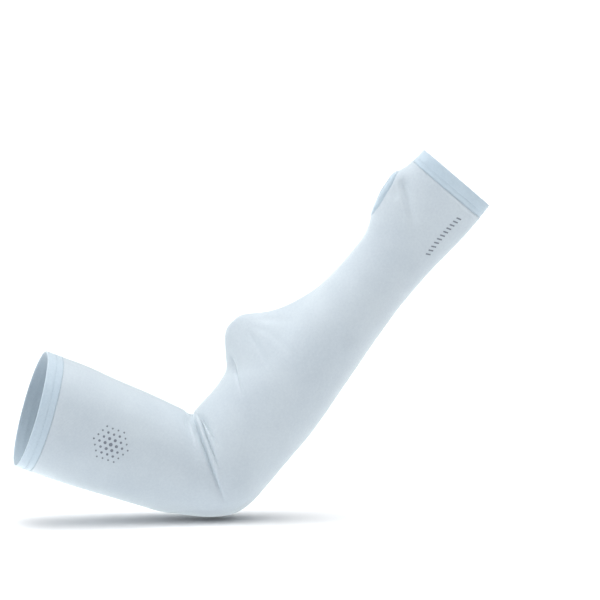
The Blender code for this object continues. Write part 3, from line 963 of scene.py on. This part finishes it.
# The printed marks: where each middle lies on the path and round the sleeve, from the lowest point by the back
UPPER_MARK = (0.068, 0.745)
HAND_MARK = (0.4410, 0.882)
MARK_POINTS = 2000
MARK_RINGS = 3
DOT_SIDES = 14
DOT_RADIUS = 0.00165
DOT_SHRINK = 0.00028
DOT_INSET = 0.08
BAR_COUNT = 11
BAR_LENGTH = 0.0046
BAR_WIDTH = 0.0013
BAR_PITCH = 0.0040
BAR_SLANT = math.radians(22)
FILM_THICKNESS = 0.00008


def cloth_place(distance, share, wrinkle_height, turn=0.0):
    """The place on the cloth at a distance along and a share round, turned about Z, and the length round."""
    points, normals, _, depths = skin_rows(np.array([distance, distance + SLOPE_STEP]), MARK_POINTS)
    k = int(round(share * MARK_POINTS)) % MARK_POINTS
    spot = points[:1, k:k + 1]
    rise = uneven_heights(spot, wrinkle_height) - fold_depths(spot, depths[:1, k:k + 1])
    lifted = points[0, k] + normals[0, k] * (rise[0, 0] + FILM_THICKNESS / 2)
    matrix = place_matrix(lifted, points[1, k] - points[0, k], normals[0, k])
    return matrix @ Matrix.Rotation(turn, 4, "Z"), round_length(points[0])


def press_film(cuts=0, inset=0.0):
    """Gives the active flat shape the thickness of the film. cuts divide its edges, and inset softens its rim."""
    bpy.ops.object.mode_set(mode="EDIT")
    bpy.ops.mesh.select_all(action="SELECT")
    if cuts:
        bpy.ops.mesh.subdivide(number_cuts=cuts)
    bpy.ops.mesh.extrude_region_move(TRANSFORM_OT_translate={"value": (0, 0, FILM_THICKNESS)})
    if inset:
        bpy.ops.mesh.inset(thickness=inset)
    bpy.ops.mesh.select_all(action="SELECT")
    bpy.ops.mesh.normals_make_consistent(inside=False)
    bpy.ops.object.mode_set(mode="OBJECT")
    return bpy.context.active_object


def model_dot():
    """A round dot of film, 1 m in radius, lying flat. Its copies are scaled to their size."""
    deselect_all()
    bpy.ops.mesh.primitive_circle_add(vertices=DOT_SIDES, radius=1.0, fill_type="NGON", location=(0, 0, 0))
    return press_film(inset=DOT_INSET)


def model_bar():
    """A short bar of film, lying flat with its length along Y."""
    deselect_all()
    bpy.ops.mesh.primitive_plane_add(size=1, location=(0, 0, 0))
    bpy.context.active_object.scale = (BAR_WIDTH, BAR_LENGTH, 1)
    apply_transforms()
    return press_film(cuts=2)


class SLEEVE_OT_printed_marks(bpy.types.Operator):
    """Presses the plain grey marks onto the cloth near each hem"""

    bl_idname = "arm_sleeve.printed_marks"
    bl_label = "Printed marks"

    def execute(self, context):
        sizes = context.scene.arm_sleeve_sizes
        film = film_material(context.scene.arm_sleeve_finish)
        dot = model_dot()
        ring = cloth_place(*UPPER_MARK, sizes.wrinkle_height)[1]
        places = []
        for row in range(-MARK_RINGS, MARK_RINGS + 1):
            for step in range(-MARK_RINGS, MARK_RINGS + 1):
                out = max(abs(row), abs(step), abs(row + step))
                if out > MARK_RINGS:
                    continue
                along = (step + row / 2) * sizes.mark_pitch
                aside = row * sizes.mark_pitch * math.sqrt(3) / 2
                matrix, ring = cloth_place(
                    UPPER_MARK[0] + along, UPPER_MARK[1] + aside / ring, sizes.wrinkle_height)
                radius = DOT_RADIUS - DOT_SHRINK * out
                places.append(matrix @ Matrix.Diagonal((radius, radius, 1, 1)))
        dress(copy_along(dot, places, "upper_arm_dots"), film)
        bpy.data.objects.remove(dot)
        bar = model_bar()
        places = []
        for k in range(BAR_COUNT):
            away = (k - (BAR_COUNT - 1) / 2) * BAR_PITCH
            places.append(cloth_place(HAND_MARK[0] + away, HAND_MARK[1], sizes.wrinkle_height, BAR_SLANT)[0])
        dress(copy_along(bar, places, "hand_bars"), film)
        bpy.data.objects.remove(bar)
        return {"FINISHED"}


class SLEEVE_OT_hems(bpy.types.Operator):
    """Folds the double hem at each end of the sleeve"""

    bl_idname = "arm_sleeve.hems"
    bl_label = "Hems"

    def execute(self, context):
        sizes = context.scene.arm_sleeve_sizes
        finish = context.scene.arm_sleeve_finish
        # the double layer takes the darker colours: painted shade
        double = knit_material("double_jersey_hem", finish.shaded_hem_light, finish.shaded_hem_dark, finish)
        profile = hem_profile(sizes)
        on_outer = profile[:, 1] < sizes.hem_layer
        for hem in HEMS:
            points, normals = skin_rows(hem.rim + hem.direction * profile[:, 0], HEM_POINTS_ROUND)[:2]
            inwards = profile[:, 1] + hem_dents(profile[:, 0], hem)
            inwards -= np.where(on_outer, edge_rise(profile[:, 0], hem), 0.0)
            along = hem.rim + hem.direction * (HEM_DEPTH - reached_along(profile))
            cloth = lay_cloth(
                hem.name + "_cloth", points - normals * inwards[:, None, None], normals, HEM_SPOT,
                HEM_FLAT_ROUND, along, (sizes.hem_layer, 0.0), (double, "hem", hem.stands_for))
        return {"FINISHED"}


class SLEEVE_OT_binding(bpy.types.Operator):
    """Turns the narrow band round the edge of the thumb hole"""

    bl_idname = "arm_sleeve.binding"
    bl_label = "Thumb-hole binding"

    def execute(self, context):
        sizes = context.scene.arm_sleeve_sizes
        finish = context.scene.arm_sleeve_finish
        # the turned band takes the hem's darker colours: painted shade
        turned = knit_material("turned_jersey_binding", finish.shaded_hem_light, finish.shaded_hem_dark, finish)
        profile = binding_profile(sizes)
        points, normals = binding_points(profile, BINDING_POINTS_ROUND)
        cloth = lay_cloth(
            "thumb_hole_cloth", points, normals, BINDING_SPOT, BINDING_FLAT_ROUND, reached_along(profile),
            (BINDING_LAYER, 0.0), (turned, "binding", "thumb_hole_binding"))
        return {"FINISHED"}


# Reach is 1 on the thumb hole's edge, and this much where there is no hole. The folds and wrinkles start at
# CALM_EDGE and are whole CALM_WIDTH further out, or CALM_AT_HEMS away from a hem.
FAR_FROM_HOLE = 9.0
CALM_EDGE = 1.03
CALM_WIDTH = 0.35
CALM_AT_HEMS = 0.010
# How far the body's cloth puffs up beside the hand hem
SEAM_PUFF = 0.00035
SEAM_PUFF_WIDTH = 0.0014


class SLEEVE_OT_body(bpy.types.Operator):
    """Knits the tube between the hems, with its folds and the opening for the thumb"""

    bl_idname = "arm_sleeve.body"
    bl_label = "Sleeve body"

    def execute(self, context):
        sizes = context.scene.arm_sleeve_sizes
        finish = context.scene.arm_sleeve_finish
        start = HEM_DEPTH + HEM_JOIN_GAP / 2
        end = TOTAL_LENGTH - HEM_DEPTH - HEM_JOIN_GAP / 2
        distance = ring_distances(start, end)
        points, normals, heights, depths = skin_rows(distance, POINTS_ROUND)
        reach = np.where(heights > 0, oval_reach(distance[:, None], depths), FAR_FROM_HOLE)
        calm = smooth_step((reach - CALM_EDGE) / CALM_WIDTH)
        ends = np.minimum(distance - start, end - distance)
        calm = calm * smooth_step(ends / CALM_AT_HEMS)[:, None]
        moved = fold_depths(points, depths) * calm
        moved -= uneven_heights(points, sizes.wrinkle_height) * calm
        moved -= (SEAM_PUFF * np.exp(-(((end - distance) / SEAM_PUFF_WIDTH - 0.5) ** 2)))[:, None]
        shaped = points - normals * moved[..., None]

        # the opening: faces inside the oval go, and the points left on its rim move onto it
        round_next = np.roll(reach, -1, axis=1)
        middles = (reach[:-1] + reach[1:] + round_next[:-1] + round_next[1:]) / 4
        keep = middles > 1.0
        beside_hole = np.zeros(reach.shape, bool)
        for row, col in zip(*np.nonzero(~keep)):
            for side in (col, (col + 1) % POINTS_ROUND):
                beside_hole[row, side] = True
                beside_hole[row + 1, side] = True
        beside_kept = np.zeros(reach.shape, bool)
        beside_kept[:-1] |= keep | np.roll(keep, 1, axis=1)
        beside_kept[1:] |= keep | np.roll(keep, 1, axis=1)
        on_rim = beside_hole & beside_kept
        at = (np.broadcast_to(distance[:, None], reach.shape)[on_rim] - HOLE_MIDDLE) / reach[on_rim]
        shaped[on_rim] = thumb_side(HOLE_MIDDLE + at, depths[on_rim] / reach[on_rim])[0]

        knit = knit_material("fine_cooling_jersey", finish.knit_light, finish.knit_dark_and_loop_shade, finish)
        cloth = lay_cloth(
            "sleeve_cloth", shaped, normals, BODY_SPOT, BODY_FLAT_ROUND, distance,
            (sizes.cloth_thickness, -1.0), (knit, "knit", "sleeve_body"), keep)
        return {"FINISHED"}


# The bright parts of the white room: which way each lies from the sleeve, how narrow it is and how bright
Glow = namedtuple("Glow", "towards narrowness brightness")
GLOWS = [
    Glow((-1.0, 0.0, 0.2), 3, 1.0),
    Glow((-1.0, -1.0, 1.0), 8, 1.2),
    Glow((1.0, 0.0, 1.0), 8, 0.8),
    Glow((0.0, 0.0, 1.0), 8, 5.1),
    Glow((0.0, 1.0, 0.45), 3, 0.3),
]
# How high the white band reaches, as a share of the way up
WALL_HEIGHT = 0.14
FLOOR_RADIUS = 60.0
FLOOR_DROP = 0.0020
PICTURE_MIDDLE = Vector((0.084, 0.0, 0.1376))
SENSOR_WIDTH = 36.0
OVERHEAD_SIZE = (1.2, 1.2)
OVERHEAD_PLACE = Vector((0.0, 0.0, 1.65))
FILL_SIZE = (0.34, 0.10)
FILL_PLACE = Vector((-0.03, 0.0, CAD_LOW.z - FLOOR_DROP / 2))


def white_room(brightness):
    """A white room that glows softly from some sides, with an even white band all round at eye level."""
    world = bpy.data.worlds.new("white_room")
    world.use_nodes = True
    place = add_node(world, "TexCoord")
    height = add_node(world, "SeparateXYZ", links={"Vector": (place, "Generated")})
    level = add_node(world, "Math", {"operation": "DIVIDE"}, {0: (height, "Z"), 1: WALL_HEIGHT})
    square = add_node(world, "Math", {"operation": "MULTIPLY"}, {0: (level, "Value"), 1: (level, "Value")})
    fall = add_node(world, "Math", {"operation": "MULTIPLY"}, {0: (square, "Value"), 1: -1.0})
    total = add_node(world, "Math", {"operation": "EXPONENT"}, {0: (fall, "Value")})
    for glow in GLOWS:
        facing = add_node(world, "VectorMath", {"operation": "DOT_PRODUCT"},
            {0: (place, "Generated"), 1: Vector(glow.towards).normalized()})
        ahead = add_node(world, "Math", {"operation": "MAXIMUM"}, {0: (facing, "Value"), 1: 0.0})
        lobe = add_node(world, "Math", {"operation": "POWER"}, {0: (ahead, "Value"), 1: glow.narrowness})
        total = add_node(world, "Math", MULTIPLY_ADD,
            {0: (lobe, "Value"), 1: glow.brightness, 2: (total, "Value")})
    grey = add_node(world, "CombineColor", links={
        "Red": (total, "Value"), "Green": (total, "Value"), "Blue": (total, "Value")})
    feed(world, world.node_tree.nodes["Background"], {"Color": (grey, "Color"), "Strength": brightness})
    return world


def add_soft_box(name, power, size, location, target):
    light = bpy.data.lights.new(name, "AREA")
    light.shape = "RECTANGLE"
    light.size, light.size_y = size
    light.energy = power
    item = bpy.data.objects.new(name, light)
    item.location = location
    item.rotation_euler = (Vector(target) - Vector(location)).to_track_quat("-Z", "Y").to_euler()
    item.visible_camera = False
    bpy.context.scene.collection.objects.link(item)
    return item


class SLEEVE_OT_stage(bpy.types.Operator):
    """Sets up the pale floor, the soft studio light and the camera"""

    bl_idname = "arm_sleeve.stage"
    bl_label = "Stage"

    def execute(self, context):
        studio = context.scene.arm_sleeve_studio
        deselect_all()
        bpy.ops.mesh.primitive_circle_add(
            vertices=96, radius=FLOOR_RADIUS, fill_type="NGON", location=(0, 0, CAD_LOW.z - FLOOR_DROP))
        floor = context.active_object
        floor.name = "studio_floor"
        apply_transforms()
        floor.data.materials.append(paper_material())

        context.scene.world = white_room(studio.room_light)
        add_soft_box("overhead_soft_box", studio.key_power, OVERHEAD_SIZE, OVERHEAD_PLACE, PICTURE_MIDDLE)
        # a thin panel lightens the underside. It gives direct light only, so the shadow on the floor stays.
        fill = add_soft_box(
            "low_fill_panel", studio.fill_power, FILL_SIZE, FILL_PLACE, FILL_PLACE + Vector((0.0, 0.0, 1.0)))
        fill.data.cycles.max_bounces = 0
        fill.data.cycles.use_multiple_importance_sampling = False

        camera_data = bpy.data.cameras.new("camera")
        camera = bpy.data.objects.new("camera", camera_data)
        context.scene.collection.objects.link(camera)
        away = studio.camera_distance
        lift = studio.camera_elevation
        camera.location = PICTURE_MIDDLE + Vector((0.0, -math.cos(lift), math.sin(lift))) * away
        camera.rotation_euler = (PICTURE_MIDDLE - camera.location).to_track_quat("-Z", "Y").to_euler()
        camera_data.sensor_width = SENSOR_WIDTH
        camera_data.lens = SENSOR_WIDTH * away / studio.picture_width
        camera_data.dof.use_dof = False
        context.scene.camera = camera
        context.scene.view_settings.view_transform = "Standard"
        context.scene.view_settings.look = "None"
        return {"FINISHED"}


class SLEEVE_PT_panel(bpy.types.Panel):
    """Lists the sleeve's steps, sizes and colours"""

    bl_idname = "SLEEVE_PT_panel"
    bl_label = "Arm Sleeve"
    bl_space_type = "VIEW_3D"
    bl_region_type = "UI"
    bl_category = "Arm Sleeve"

    def draw(self, context):
        column = self.layout.column()
        for step in STEPS:
            column.operator(step.bl_idname)
        for name, group in GROUPS.items():
            for size in group.__annotations__:
                column.prop(getattr(context.scene, name), size)


GROUPS = {
    "arm_sleeve_sizes": ArmSleeveSizes,
    "arm_sleeve_finish": ArmSleeveFinish,
    "arm_sleeve_studio": ArmSleeveStudio,
}
STEPS = (
    SLEEVE_OT_stitching,
    SLEEVE_OT_printed_marks,
    SLEEVE_OT_hems,
    SLEEVE_OT_binding,
    SLEEVE_OT_body,
    SLEEVE_OT_stage,
)
CLASSES = (*GROUPS.values(), *STEPS, SLEEVE_PT_panel)


def register():
    for item in CLASSES:
        bpy.utils.register_class(item)
    for name, group in GROUPS.items():
        setattr(bpy.types.Scene, name, PointerProperty(type=group))


def unregister():
    for name in GROUPS:
        delattr(bpy.types.Scene, name)
    for item in reversed(CLASSES):
        bpy.utils.unregister_class(item)


def main():
    register()
    bpy.ops.arm_sleeve.stitching()
    bpy.ops.arm_sleeve.printed_marks()
    bpy.ops.arm_sleeve.hems()
    bpy.ops.arm_sleeve.binding()
    bpy.ops.arm_sleeve.body()
    bpy.ops.arm_sleeve.stage()


if __name__ == "__main__":
    main()
